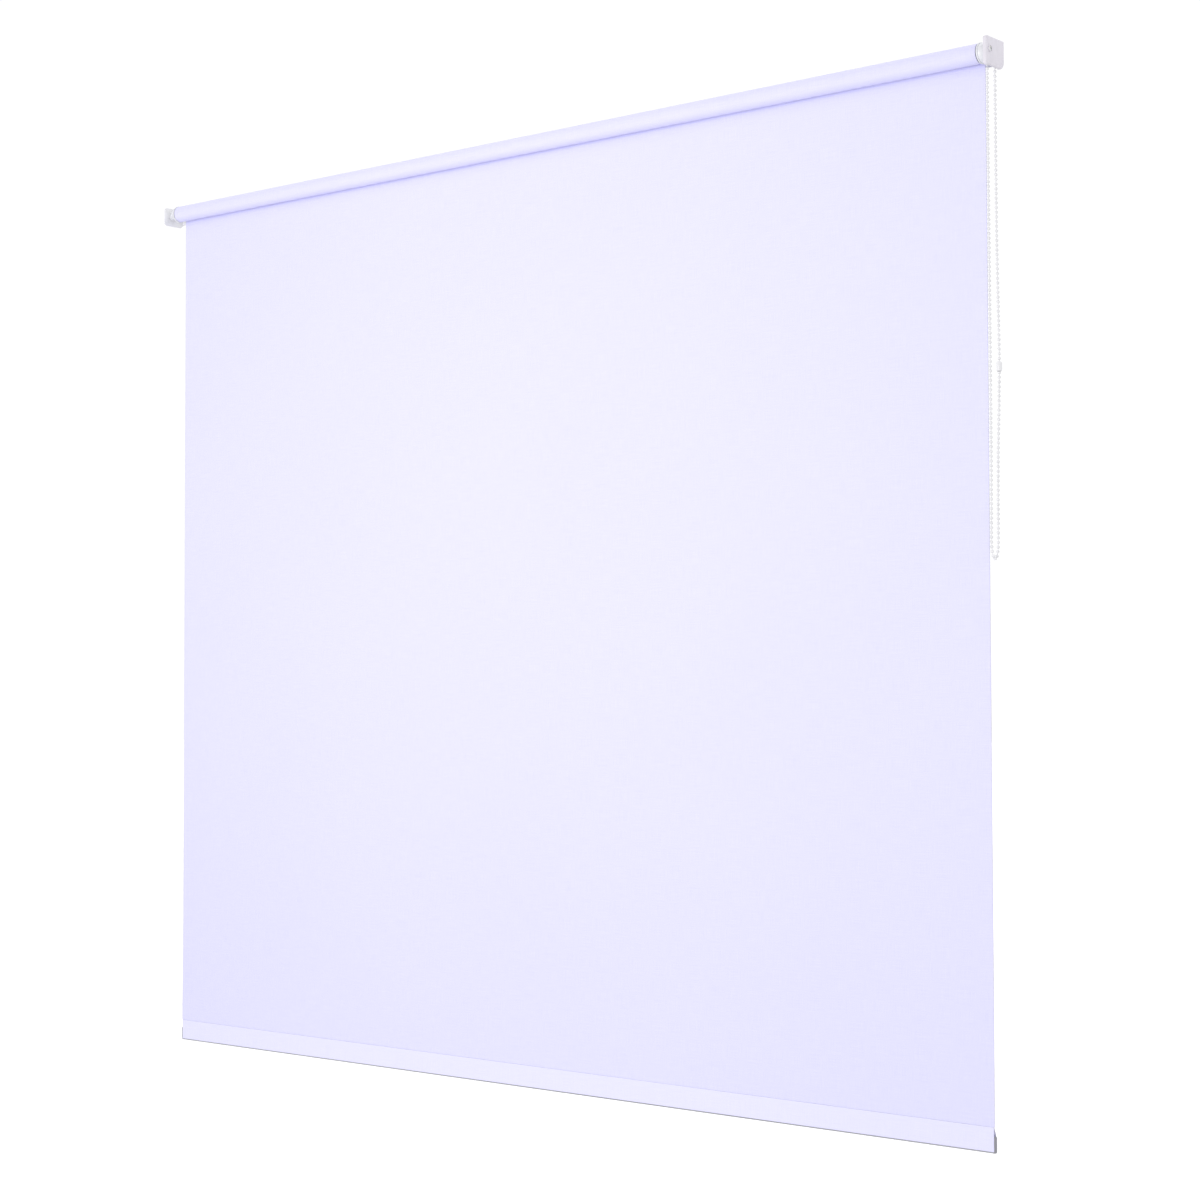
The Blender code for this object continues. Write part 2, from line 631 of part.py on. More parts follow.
def add_chain(finishes, parent):
    """The bead chain as one tube whose ends meet on top of the wheel, and its joiner."""
    x = cloth_edge + chain_offset
    route = [(x, y / 1000, z / 1000) for y, z in chain_route]
    points = smooth_route(route, 2)
    curve = bpy.data.curves.new("bead_chain", "CURVE")
    curve.dimensions = "3D"
    curve.bevel_depth = bead_diameter / 2
    curve.bevel_resolution = 2
    curve.use_fill_caps = True
    spline = curve.splines.new("POLY")
    spline.points.add(len(points) - 1)
    for place, point in zip(points, spline.points):
        point.co = (*place, 1.0)
    chain = bpy.data.objects.new("bead_chain", curve)
    bpy.context.collection.objects.link(chain)
    curve.materials.append(finishes["chain"])
    chain.parent = parent

    half = joiner_length / 2
    bore = bead_diameter / 2 + seat_gap
    joiner = turned([(-half, bore), (-half, joiner_radius - 0.0006),
                     (-half + 0.0012, joiner_radius), (half - 0.0012, joiner_radius),
                     (half, joiner_radius - 0.0006), (half, bore)], 24, closed=True)
    behind = [p for p in points if p.y > 0]
    below = min(behind, key=lambda p: abs(p.z + joiner_height))
    at = points.index(below)
    along = (points[at + 1] - points[at - 1]).normalized()
    turn = Vector((1, 0, 0)).rotation_difference(along).to_matrix()
    bmesh.ops.rotate(joiner, verts=joiner.verts, cent=(0, 0, 0), matrix=turn)
    bmesh.ops.translate(joiner, verts=joiner.verts, vec=below)
    finish("chain_joiner", joiner, finishes["chain"], parent)


def main():
    clear_scene()
    finishes = {
        "bracket": make_material("bracket_steel", (0.72, 0.72, 0.75), 0.5),
        "cover": make_material("cover_plastic", (0.62, 0.58, 0.66), 0.5),
        "white plastic": make_material("white_plastic", (0.82, 0.84, 0.86), 0.4),
        "hub": make_material("hub_plastic", (0.70, 0.71, 0.74), 0.45),
        "tube": make_material("tube_aluminium", (0.75, 0.76, 0.78), 0.3, 1.0),
        "cloth": make_material("blackout_cloth", (0.84, 0.84, 0.95), 0.75),
        "tape": make_material("fixing_tape", (0.75, 0.75, 0.70), 0.6),
        "rail": make_material("rail_aluminium", (0.30, 0.30, 0.33), 0.45, 0.4),
        "cap": make_material("cap_plastic", (0.10, 0.10, 0.12), 0.5),
        "steel": make_material("zinc_steel", (0.62, 0.62, 0.62), 0.35, 1.0),
        "spring": make_material("spring_steel", (0.45, 0.45, 0.47), 0.35, 1.0),
        "chain": make_material("chain_plastic", (0.80, 0.80, 0.80), 0.35),
    }
    still = make_empty("brackets_mark", axis_point)
    turning = make_empty("roller_mark", axis_point)
    swinging = make_empty("chain_mark", axis_point)
    lifting = make_empty("hem_mark", axis_point + Vector((0, hem_behind, -drop)))
    drive_end, idle_end = (cloth_edge, 0, 0), (idle_edge, 0, 0)
    drive_still = make_empty("drive_bracket_mark", drive_end, still)
    idle_still = make_empty("idle_bracket_mark", idle_end, still)
    drive_turning = make_empty("drive_crown_mark", drive_end, turning)
    idle_turning = make_empty("idle_plug_mark", idle_end, turning)
    sliding = make_empty("idle_pin_mark", idle_end, turning)

    add_bracket("drive_bracket", 1, None, finishes["bracket"], drive_still)
    add_bracket("idle_bracket", -1, bush_radius, finishes["bracket"], idle_still)
    add_cover("drive_cover", 1, finishes["cover"], drive_still)
    add_screw("drive_cover_screw", 1, finishes["steel"], drive_still)
    add_roller(finishes, turning, drive_turning, idle_turning)
    add_clutch(finishes, drive_still, drive_turning)
    add_idle_pin(finishes, idle_still, idle_turning, sliding)
    add_hem(finishes, lifting)
    add_sheet(finishes, still)
    add_chain(finishes, swinging)


main()
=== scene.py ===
import json
from math import cos, exp, pi, radians, sin, sqrt, tau

import bmesh
import bpy
from mathutils import Matrix, Vector, noise

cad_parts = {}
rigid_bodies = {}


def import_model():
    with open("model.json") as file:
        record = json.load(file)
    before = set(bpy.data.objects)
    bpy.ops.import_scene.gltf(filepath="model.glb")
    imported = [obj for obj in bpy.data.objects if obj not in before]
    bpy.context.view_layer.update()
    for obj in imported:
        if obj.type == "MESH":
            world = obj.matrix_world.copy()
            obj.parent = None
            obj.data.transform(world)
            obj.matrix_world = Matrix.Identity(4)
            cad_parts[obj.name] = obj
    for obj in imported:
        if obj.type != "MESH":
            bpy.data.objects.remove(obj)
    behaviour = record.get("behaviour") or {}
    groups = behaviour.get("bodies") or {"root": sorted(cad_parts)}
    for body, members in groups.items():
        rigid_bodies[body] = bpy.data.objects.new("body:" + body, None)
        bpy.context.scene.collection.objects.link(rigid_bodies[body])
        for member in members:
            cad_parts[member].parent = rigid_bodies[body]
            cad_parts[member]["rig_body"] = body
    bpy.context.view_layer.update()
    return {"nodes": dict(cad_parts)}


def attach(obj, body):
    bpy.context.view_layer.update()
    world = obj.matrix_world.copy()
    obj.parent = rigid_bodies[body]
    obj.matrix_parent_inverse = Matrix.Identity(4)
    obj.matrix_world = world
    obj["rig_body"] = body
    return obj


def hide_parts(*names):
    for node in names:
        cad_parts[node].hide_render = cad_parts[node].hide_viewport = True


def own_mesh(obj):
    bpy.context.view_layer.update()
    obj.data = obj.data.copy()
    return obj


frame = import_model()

# Roller blind, lowered. +X runs along the roller to the chain side, +Y to the wall, +Z up, in metres.
nodes = frame["nodes"]
axisY = -0.024  # the roller's axis, this far ahead of the wall and level with the origin


def addObject(name, data):
    thing = bpy.data.objects.new(name, data)
    bpy.context.scene.collection.objects.link(thing)
    return thing


def meshFrom(bm, name, smooth=True):
    mesh = bpy.data.meshes.new(name)
    bm.to_mesh(mesh)
    bm.free()
    for face in mesh.polygons:
        face.use_smooth = smooth
    return mesh


# Camera.

cameraSettings = {
    "place": (1.5151, -2.6118, -0.8118),
    "turn": 39.754,  # about Z, in degrees, then up from the horizon, then about its own axis
    "tilt": 2.257,
    "roll": -0.129,
    "lens": 70.5,
    "sensor": 36.0,
}


def addCamera(settings):
    data = bpy.data.cameras.new("camera")
    data.lens = settings["lens"]
    data.sensor_width = settings["sensor"]
    data.clip_start = 0.05
    data.clip_end = 400.0
    camera = addObject("camera", data)
    turn = Matrix.Rotation(radians(settings["turn"]), 4, "Z")
    tilt = Matrix.Rotation(radians(90 + settings["tilt"]), 4, "X")
    roll = Matrix.Rotation(radians(settings["roll"]), 4, "Z")
    camera.matrix_world = Matrix.Translation(settings["place"]) @ turn @ tilt @ roll
    bpy.context.scene.camera = camera


addCamera(cameraSettings)
print("camera placed")


# A shader socket that can be used in sums, and one way to add any other node.

class Wire:
    def __init__(self, tree, socket=None):
        self.tree = tree
        self.socket = socket

    def node(self, kind, settings=None, inputs=None, out=0):
        made = self.tree.nodes.new(kind)
        for name, value in (settings or {}).items():
            setattr(made, name, value)
        for name, value in (inputs or {}).items():
            if isinstance(value, Wire):
                self.tree.links.new(value.socket, made.inputs[name])
            else:
                made.inputs[name].default_value = value
        return Wire(self.tree, made.outputs[out])

    def maths(self, operation, first, second=0.0):
        return self.node("ShaderNodeMath", {"operation": operation}, {0: first, 1: second})

    def __add__(self, other):
        return self.maths("ADD", self, other)

    def __radd__(self, other):
        return self.maths("ADD", other, self)

    def __sub__(self, other):
        return self.maths("SUBTRACT", self, other)

    def __rsub__(self, other):
        return self.maths("SUBTRACT", other, self)

    def __mul__(self, other):
        return self.maths("MULTIPLY", self, other)

    def __rmul__(self, other):
        return self.maths("MULTIPLY", other, self)

    def sine(self):
        return self.maths("SINE", self)

    def least(self, other):
        return self.maths("MINIMUM", self, other)

    def between(self, low, high):  # 0 at low and 1 at high, eased at both
        return self.node("ShaderNodeMapRange", {"interpolation_type": "SMOOTHSTEP"},
                         {"Value": self, "From Min": low, "From Max": high})

    def part(self, index):  # one number of a vector
        return self.node("ShaderNodeSeparateXYZ", None, {"Vector": self}, out=index)

    def grain(self, scale, detail=3.0, stretch=(1.0, 1.0, 1.0), rough=0.55):
        mapped = self.node("ShaderNodeMapping", None, {"Vector": self, "Scale": stretch})
        return self.node("ShaderNodeTexNoise", None,
                         {"Vector": mapped, "Scale": scale, "Detail": detail, "Roughness": rough})


def rgba(colour, factor=1.0):
    return (*(min(1.0, part * factor) for part in colour), 1.0)


def blended(amount, first, second):
    return amount.node("ShaderNodeMix", {"data_type": "RGBA"},
                       {0: amount, 6: first, 7: second}, out=2)


def newFinish(name, fixed):
    material = bpy.data.materials.new(name)
    material.use_nodes = True
    shader = material.node_tree.nodes["Principled BSDF"]
    for socket, value in fixed.items():
        shader.inputs[socket].default_value = value
    return material, shader, Wire(material.node_tree)


def plug(wire, shader, colour, roughness, height, depth, strength):  # depth of the bumps in metres
    links = wire.tree.links
    bump = wire.node("ShaderNodeBump", None,
                     {"Strength": strength, "Distance": depth, "Height": height})
    links.new(colour.socket, shader.inputs["Base Color"])
    links.new(roughness.socket, shader.inputs["Roughness"])
    links.new(bump.socket, shader.inputs["Normal"])


# Finishes.

clothSettings = {
    "colour": (0.758, 0.750, 0.975),
    "shade": (0.614, 0.611, 0.875),   # painted shade where threads lie deeper in the weave, also the darker tone of uneven threads
    "edge": (0.52, 0.51, 0.60),       # cut edge, where the grey core shows
    "edgeBand": 0.0009,               # darker strip along each cut edge, metres
    "thread": 0.00042,                # from one thread to the next
    "weft": 0.00046,
    "weaveDepth": 0.00006,
    "warpWaver": 2.4,                 # how far uneven threads shift the weave, in radians
    "weftWaver": 2.0,
    "fibreDepth": 0.00006,            # on the cut edge
    "roughness": 0.74,
}
# The hem's cloth is a lighter copy of the cloth finish: painted light.
hemClothPaintedLightSettings = {
    **clothSettings,
    "colour": (0.800, 0.795, 0.985),  # painted light: lighter than the single cloth, standing in for the brighter look of the doubled layer
    "shade": (0.668, 0.664, 0.905),
}


def clothFinish(name, settings, width):
    material, shader, wire = newFinish(name, {"Sheen Weight": 0.12, "Sheen Roughness": 0.45,
                                              "Specular IOR Level": 0.32})
    flat = wire.node("ShaderNodeTexCoord", out=2)
    across, along = flat.part(0), flat.part(1)
    slubs = (flat.grain(1.0, 3.0, (2600.0, 38.0, 1.0)) * 0.5
             + flat.grain(1.0, 3.0, (30.0, 2300.0, 1.0)) * 0.5)
    warp = (across * (tau / settings["thread"]) + slubs * settings["warpWaver"]).sine()
    weft = (along * (tau / settings["weft"]) + slubs * settings["weftWaver"]).sine()
    weave = warp * weft * 0.5 + 0.5
    clouds = flat.grain(3.2, 3.0)
    pores = flat.grain(900.0, 2.0)
    handled = flat.grain(14.0, 5.0, (1.0, 0.6, 1.0), 0.6)
    # painted shade in the weave's hollows, mixed with the cloth's random tone from uneven threads, clouds
    # and pores
    weaveShadeAndTone = (weave * 0.35 + slubs * 0.9 + clouds * 0.06 + pores * 0.2).between(0.40, 1.11)
    colour = blended(weaveShadeAndTone, rgba(settings["shade"]), rgba(settings["colour"]))
    rim = across.least(width - across).between(settings["edgeBand"], settings["edgeBand"] * 0.35)
    colour = blended(rim * 0.55, colour, rgba(settings["edge"]))
    roughness = handled * 0.12 + weave * 0.04 + (settings["roughness"] - 0.08)
    height = weave * 0.6 + slubs * 0.9 + pores * 0.25
    plug(wire, shader, colour, roughness, height, settings["weaveDepth"], 0.5)
    return material


def clothEdgeFinish(name, settings):
    material, shader, wire = newFinish(name, {"Specular IOR Level": 0.25})
    flat = wire.node("ShaderNodeTexCoord", out=3)
    fibres = flat.grain(5200.0, 3.0)
    layers = flat.grain(700.0, 2.0)
    colour = blended((fibres * 0.6 + layers * 0.4).between(0.35, 0.65),
                     rgba(settings["edge"]), rgba(settings["shade"]))
    plug(wire, shader, colour, fibres * 0.1 + 0.8, fibres, settings["fibreDepth"], 0.6)
    return material


plasticSettings = {
    "cover_plastic": {"colour": (0.69, 0.665, 0.725), "worn": (0.76, 0.74, 0.79), "roughness": 0.46,
                      "grain": 2100.0, "depth": 0.00003, "scuffs": 0.35},
    "white_plastic": {"colour": (0.80, 0.81, 0.84), "worn": (0.72, 0.73, 0.76), "roughness": 0.36,
                      "grain": 2600.0, "depth": 0.00002, "scuffs": 0.3},
    "hub_plastic": {"colour": (0.70, 0.71, 0.73), "worn": (0.58, 0.59, 0.62), "roughness": 0.38,
                    "grain": 2400.0, "depth": 0.00002, "scuffs": 0.5},
    "cap_plastic": {"colour": (0.26, 0.26, 0.29), "worn": (0.34, 0.34, 0.36), "roughness": 0.48,
                    "grain": 1900.0, "depth": 0.00004, "scuffs": 0.3},
    "chain_plastic": {"colour": (0.74, 0.74, 0.755), "worn": (0.60, 0.60, 0.62), "roughness": 0.30,
                      "grain": 1500.0, "depth": 0.00002, "scuffs": 0.35},
}


def plasticFinish(name, settings):
    material, shader, wire = newFinish(name, {"IOR": 1.49, "Specular IOR Level": 0.5})
    where = wire.node("ShaderNodeTexCoord", out=3)
    flow = where.grain(85.0, 4.0, (1.0, 2.4, 0.7))
    speck = where.grain(settings["grain"], 2.0)
    scratches = where.grain(260.0, 6.0, (7.0, 0.6, 1.4), 0.7).between(0.60, 0.74)
    rubs = where.grain(120.0, 5.0, (1.0, 1.0, 1.0), 0.65).between(0.52, 0.74)
    wear = scratches * rubs * settings["scuffs"]
    base = blended(flow.between(0.3, 0.7),
                   rgba(settings["colour"], 0.965), rgba(settings["colour"], 1.02))
    colour = blended(wear, base, rgba(settings["worn"]))
    roughness = settings["roughness"] + flow * 0.06 + speck * 0.08 + wear * 0.25 - 0.07
    height = speck * 0.8 + flow * 0.4 - scratches * 0.7
    plug(wire, shader, colour, roughness, height, settings["depth"], 0.8)
    return material


metalSettings = {
    "bracket_steel": {"colour": (0.80, 0.80, 0.82), "stain": (0.73, 0.73, 0.75), "roughness": 0.44,
                      "metallic": 0.0, "drawn": (1.0, 1.0, 1.0), "fine": 1700.0, "depth": 0.00003},
    "zinc_steel": {"colour": (0.62, 0.63, 0.65), "stain": (0.52, 0.50, 0.44), "roughness": 0.30,
                   "metallic": 1.0, "drawn": (1.0, 1.0, 1.0), "fine": 2600.0, "depth": 0.00002},
    "spring_steel": {"colour": (0.40, 0.40, 0.42), "stain": (0.26, 0.24, 0.22), "roughness": 0.32,
                     "metallic": 1.0, "drawn": (0.4, 1.0, 1.0), "fine": 3200.0, "depth": 0.00001},
    "tube_aluminium": {"colour": (0.74, 0.75, 0.77), "stain": (0.62, 0.63, 0.66), "roughness": 0.27,
                       "metallic": 1.0, "drawn": (0.012, 1.0, 1.0), "fine": 2200.0, "depth": 0.00002},
    "rail_aluminium": {"colour": (0.40, 0.40, 0.43), "stain": (0.33, 0.33, 0.36), "roughness": 0.42,
                       "metallic": 0.5, "drawn": (0.01, 1.0, 1.0), "fine": 1800.0, "depth": 0.00002},
}


def metalFinish(name, settings):
    material, shader, wire = newFinish(name, {"Metallic": settings["metallic"], "IOR": 1.5})
    where = wire.node("ShaderNodeTexCoord", out=3)
    drawn = where.grain(settings["fine"], 3.0, settings["drawn"])
    mottle = where.grain(140.0, 5.0, settings["drawn"])
    scratches = where.grain(420.0, 6.0, (0.5, 5.0, 1.2), 0.7).between(0.62, 0.72)
    colour = blended(mottle.between(0.42, 0.7), rgba(settings["colour"]), rgba(settings["stain"]))
    colour = blended(scratches * 0.35, colour, rgba(settings["colour"], 1.25))
    roughness = settings["roughness"] + mottle * 0.16 + drawn * 0.08 - 0.12
    plug(wire, shader, colour, roughness, drawn - scratches * 0.6, settings["depth"], 0.7)
    return material


tapeSettings = {
    "colour": (0.66, 0.62, 0.47),
    "fibre": (0.78, 0.76, 0.66),
    "bubble": (0.86, 0.85, 0.80),
    "depth": 0.00005,
}


def tapeFinish(name, settings):
    material, shader, wire = newFinish(name, {"Specular IOR Level": 0.4})
    where = wire.node("ShaderNodeTexCoord", out=3)
    fibres = where.grain(1400.0, 4.0, (0.05, 1.0, 1.0))
    bubbles = where.grain(240.0, 2.0, (0.6, 1.0, 1.0)).between(0.55, 0.7)
    colour = blended(fibres.between(0.35, 0.65), rgba(settings["colour"]), rgba(settings["fibre"]))
    colour = blended(bubbles * 0.5, colour, rgba(settings["bubble"]))
    plug(wire, shader, colour, 0.3 + fibres * 0.3, fibres + bubbles, settings["depth"], 0.8)
    return material


# Chain: the same route as the CAD chain, as metres behind the axis (- is ahead of it) and above it.

chainSettings = {
    "route": (
        (-0.00035, 0.00954), (-0.005, 0.00814), (-0.0083, 0.00472), (-0.00955, 0.0003),
        (-0.00955, -0.014), (-0.0096, -0.04), (-0.0095, -0.08), (-0.0092, -0.13), (-0.009, -0.185),
        (-0.0087, -0.245), (-0.0084, -0.31), (-0.0082, -0.375), (-0.008, -0.44), (-0.008, -0.5),
        (-0.0082, -0.555), (-0.0087, -0.6), (-0.0089, -0.622), (-0.0074, -0.635),
        (-0.0036, -0.6432), (0.0014, -0.644), (0.0054, -0.6384), (0.0076, -0.627), (0.008, -0.606),
        (0.0083, -0.56), (0.0096, -0.505), (0.0123, -0.45), (0.0139, -0.4), (0.0134, -0.35),
        (0.0117, -0.295), (0.0104, -0.24), (0.0099, -0.185), (0.0097, -0.13), (0.0096, -0.08),
        (0.00955, -0.04), (0.00955, -0.014), (0.00955, 0.0003), (0.0083, 0.00472),
        (0.005, 0.00814), (0.00035, 0.00954),
    ),
    "x": 0.0097,
    "bead": 0.0045,     # across a bead
    "pitch": 0.006,     # from bead to bead, which fits the wheel's pockets
    "string": 0.0011,
    "steps": 160,       # between two points of the route
    "rounding": 2,      # how finely a bead is rounded across the chain
    "joint": 0.00035,   # the ends meet on top of the wheel, this far from its middle
}


def smoothRoute(points, steps):  # passes through every point
    ends = [2 * points[0] - points[1], *points, 2 * points[-1] - points[-2]]
    found = []
    for a, b, c, d in zip(ends, ends[1:], ends[2:], ends[3:]):
        for step in range(steps):
            t = step / steps
            found.append(0.5 * (2 * b + (c - a) * t + (2 * a - 5 * b + 4 * c - d) * t * t
                                + (3 * b - a - 3 * c + d) * t ** 3))
    return [*found, points[-1]]


class Line:  # a route that can be asked for the point at any length along it
    def __init__(self, points):
        self.points = points
        self.marks = [0.0]
        for a, b in zip(points, points[1:]):
            self.marks.append(self.marks[-1] + (b - a).length)
        self.length = self.marks[-1]
        self.at = 0

    def point(self, far):
        if far < self.marks[self.at]:
            self.at = 0
        while self.at < len(self.marks) - 2 and self.marks[self.at + 1] < far:
            self.at += 1
        low, high = self.marks[self.at], self.marks[self.at + 1]
        share = min(1.0, max(0.0, (far - low) / (high - low)))
        return self.points[self.at].lerp(self.points[self.at + 1], share)


smoothing = {
    "merge": 0.000002,  # points nearer than this become one, metres
    "flat": 0.4,        # faces that meet at less than this become one, degrees
    "smooth": 32.0,     # edges up to this are shaded round
}


def smoothed(node, slot):  # a copy of the CAD node's mesh, its triangles joined and its round faces smooth
    bm = bmesh.new()
    bm.from_mesh(nodes[node].data)
    bmesh.ops.remove_doubles(bm, verts=bm.verts, dist=smoothing["merge"])
    bmesh.ops.dissolve_limit(bm, angle_limit=radians(smoothing["flat"]), verts=bm.verts, edges=bm.edges)
    mesh = meshFrom(bm, node)
    mesh.set_sharp_from_angle(angle=radians(smoothing["smooth"]))
    mesh.materials.append(finishes[slot])
    first, *others = node.split("_")
    thing = addObject(first + "".join(word.capitalize() for word in others), mesh)
    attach(thing, nodes[node]["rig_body"])
    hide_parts(node)
    return thing


def addBeadChain(settings, finish):
    route = [Vector((settings["x"], axisY + y, z)) for y, z in settings["route"]]
    line = Line(smoothRoute(route, settings["steps"]))
    whole = line.length + 2 * settings["joint"]
    count = round(whole / settings["pitch"])
    pitch = whole / count
    radius = settings["bead"] / 2
    neck = settings["string"] / 2
    reach = sqrt(radius ** 2 - neck ** 2)
    stations = (-reach, -0.8 * radius, -0.42 * radius, 0.0, 0.42 * radius, 0.8 * radius, reach)
    stops = [(0.0, neck)]  # how far along, and how thick there
    for bead in range(count):
        middle = (bead + 0.5) * pitch - settings["joint"]
        for off in stations:
            stops.append((middle + off, max(neck, sqrt(max(0.0, radius ** 2 - off ** 2)))))
    stops.append((line.length, neck))
    curve = bpy.data.curves.new("beadChain", "CURVE")
    curve.dimensions = "3D"
    curve.bevel_depth = radius
    curve.bevel_resolution = settings["rounding"]
    curve.use_fill_caps = True
    spline = curve.splines.new("POLY")
    spline.points.add(len(stops) - 1)
    for point, (far, wide) in zip(spline.points, stops):
        point.co = (*line.point(far), 1.0)
        point.radius = wide / radius
    chain = addObject("beadChain", curve)
    curve.materials.append(finish)
    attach(chain, "chain")
    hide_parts("bead_chain")
    joiner = smoothed("chain_joiner", "chain_plastic")
    print("bead chain:", count, "beads on", round(line.length, 4), "m")


finishes = {slot: plasticFinish(slot, values) for slot, values in plasticSettings.items()}
finishes.update({slot: metalFinish(slot, values) for slot, values in metalSettings.items()})
finishes["fixing_tape"] = tapeFinish("fixing_tape", tapeSettings)
addBeadChain(chainSettings, finishes["chain_plastic"])


# Cloth.

clothSize = {
    "driveEdge": -0.0058,
    "idleEdge": -1.5618,
    "thickness": 0.00045,
    "plane": -0.010968,     # y of the hanging cloth
    "top": 0.0,             # where it leaves the roll
    "bottom": -1.35785,     # where it goes into the hem
}
clothWidth = clothSize["driveEdge"] - clothSize["idleEdge"]
hangLength = clothSize["top"] - clothSize["bottom"]
finishes["blackout_cloth"] = clothFinish("blackout_cloth", clothSettings, clothWidth)
finishes["cloth_edge"] = clothEdgeFinish("cloth_edge", clothSettings)
# the hem's lighter copy of the cloth, painted light
finishes["hem_cloth"] = clothFinish("hem_cloth", hemClothPaintedLightSettings, clothWidth)


def addCloth(name, length, columns, rows, shape, body, stands, finish="blackout_cloth"):
    # A flat cut of cloth with its own UV map in metres, every point then moved by shape(across, along).
    bm = bmesh.new()
    bmesh.ops.create_grid(bm, x_segments=columns, y_segments=rows, size=0.5, calc_uvs=True)
    uv = bm.loops.layers.uv.verify()
    flat = {v: ((v.co.x + 0.5) * clothWidth, (0.5 - v.co.y) * length) for v in bm.verts}
    for face in bm.faces:
        for loop in face.loops:
            loop[uv].uv = flat[loop.vert]
    for v, (across, along) in flat.items():
        v.co = shape(across, along)
    bmesh.ops.recalc_face_normals(bm, faces=bm.faces)
    mesh = meshFrom(bm, name)
    mesh.materials.append(finishes[finish])
    mesh.materials.append(finishes["cloth_edge"])
    thing = addObject(name, mesh)
    thick = thing.modifiers.new("thickness", "SOLIDIFY")
    thick.thickness = clothSize["thickness"]
    thick.offset = 0.0
    thick.material_offset_rim = 1
    even = thing.modifiers.new("evenNormals", "WEIGHTED_NORMAL")
    even.weight = 100  # so the thin rim doesn't bend the light on the faces
    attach(thing, body)
    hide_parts(stands)
    return thing


def eased(value):
    value = min(1.0, max(0.0, value))
    return value * value * (3 - 2 * value)


hangSettings = {
    "belly": 0.0011,       # long, shallow waves across the width
    "lean": 0.0009,        # and how far they stand off towards the wall, clear of the roll
    "curl": 0.0006,        # how far the side edges turn to the room
    "curlWidth": 0.045,
    "waveScale": (2.1, 0.45),  # noise cells to a metre, across and along
    "rippleScale": (7.0, 1.3),
    "ripple": 0.35,        # the smaller waves' height, as a share of the belly
    "heldTop": 0.12,       # shares of the length over which the roll and the hem hold the cloth flat
    "heldBottom": 0.10,
    "columns": 260,
    "rows": 190,
}


def hangingShape(across, along):
    down = along / hangLength
    free = eased(down / hangSettings["heldTop"]) * eased((1 - down) / hangSettings["heldBottom"])
    wide, tall = hangSettings["waveScale"]
    wave = noise.noise(Vector((across * wide, along * tall, 3.7)))
    wide, tall = hangSettings["rippleScale"]
    ripple = noise.noise(Vector((across * wide + 4, along * tall, 11.2)))
    waves = wave + hangSettings["ripple"] * ripple
    y = (hangSettings["lean"] + hangSettings["belly"] * waves) * free
    side = min(across, clothWidth - across)
    curl = max(0.0, 1 - side / hangSettings["curlWidth"]) ** 2
    y -= hangSettings["curl"] * curl * free * (0.6 + 0.4 * sin(along * 4.6 + across * 3))
    return Vector((clothSize["idleEdge"] + across, clothSize["plane"] + y, clothSize["top"] - along))


hangingCloth = addCloth("hangingCloth", hangLength, hangSettings["columns"], hangSettings["rows"],
                        hangingShape, "brackets", "fabric_sheet")

rollSettings = {
    "inner": 0.012025,      # middle of the first layer
    "outer": 0.013032,      # middle of the layer that the hanging cloth leaves from
    "start": 234.0,         # where the cloth is stuck to the tube, degrees from the wall side
    "turns": 1,             # whole turns beyond that angle
    "tapeAngle": 210.0,
    "tapeLump": 0.00040,    # how far the first layer rises over the tape
    "tapeSpread": 0.42,     # half the rise's width, in radians
    "lumpFade": 0.5,        # share of the rise that the last layer loses
    "uneven": 0.00004,
    "wander": 0.00030,      # how far the layers' ends stray sideways
    "columns": 60,
    "rowsPerTurn": 60,
}
rollTurns = rollSettings["turns"] + rollSettings["start"] / 360.0
rollLength = rollTurns * tau * (rollSettings["inner"] + rollSettings["outer"]) / 2


def woundShape(across, along):
    share = along / rollLength
    turned = rollTurns * tau * (1 - share)
    radius = rollSettings["inner"] + (rollSettings["outer"] - rollSettings["inner"]) * share
    off = (turned - radians(rollSettings["tapeAngle"]) + pi) % tau - pi
    rise = rollSettings["tapeLump"] * exp(-(off / rollSettings["tapeSpread"]) ** 4)
    radius += rise * (1 - rollSettings["lumpFade"] * share)
    radius += rollSettings["uneven"] * noise.noise(Vector((across * 6, turned * 0.8, 0.3)))
    edge = across / clothWidth * 2 - 1  # -1 and 1 at the cloth's side edges
    stray = rollSettings["wander"] * sin(along * 39.0 + 1.2) * eased(1 - share) * edge ** 9
    return Vector((clothSize["idleEdge"] + across + stray,
                   axisY + radius * cos(turned), radius * sin(turned)))


rollRows = round(rollTurns * rollSettings["rowsPerTurn"])
woundCloth = addCloth("woundCloth", rollLength, rollSettings["columns"], rollRows,
                      woundShape, "roller", "fabric_roll")

hemSettings = {
    "low": -1.3892,         # lower edge of the cloth round the rail
    "barTop": -1.3698,      # the two layers run together above this
    "high": -1.35812,       # top of the pocket
    "front": -0.010968,     # y of the front layer, in line with the hanging cloth
    "back": -0.006518,      # y of the back layer, behind the rail
    "neck": 0.00062,        # from layer to layer at the top
    "weldDrop": 0.0042,     # the weld's middle, down from the top
    "weldWide": 0.0011,
    "weld": 0.00010,        # how deep the weld is pressed
    "knurl": 2600,          # the weld's pattern along the hem, radians a metre
    "foldRise": 0.00008,    # how far the fold stands up
    "pucker": 0.00032,      # small wrinkles on the lower part of the front
    "puckerHeight": 0.62,   # up to this share of the hem's height
    "puckerStart": 0.0022,  # and fading out this close to the lower edge, metres
    "inset": 0.0011,        # the end caps start here, in from the cloth's edges
    "columns": 520,
    "rows": 60,
}
hemRise = hemSettings["high"] - hemSettings["low"]
hemFold = hemSettings["neck"] * pi / 2
hemLength = 2 * hemRise + hemFold


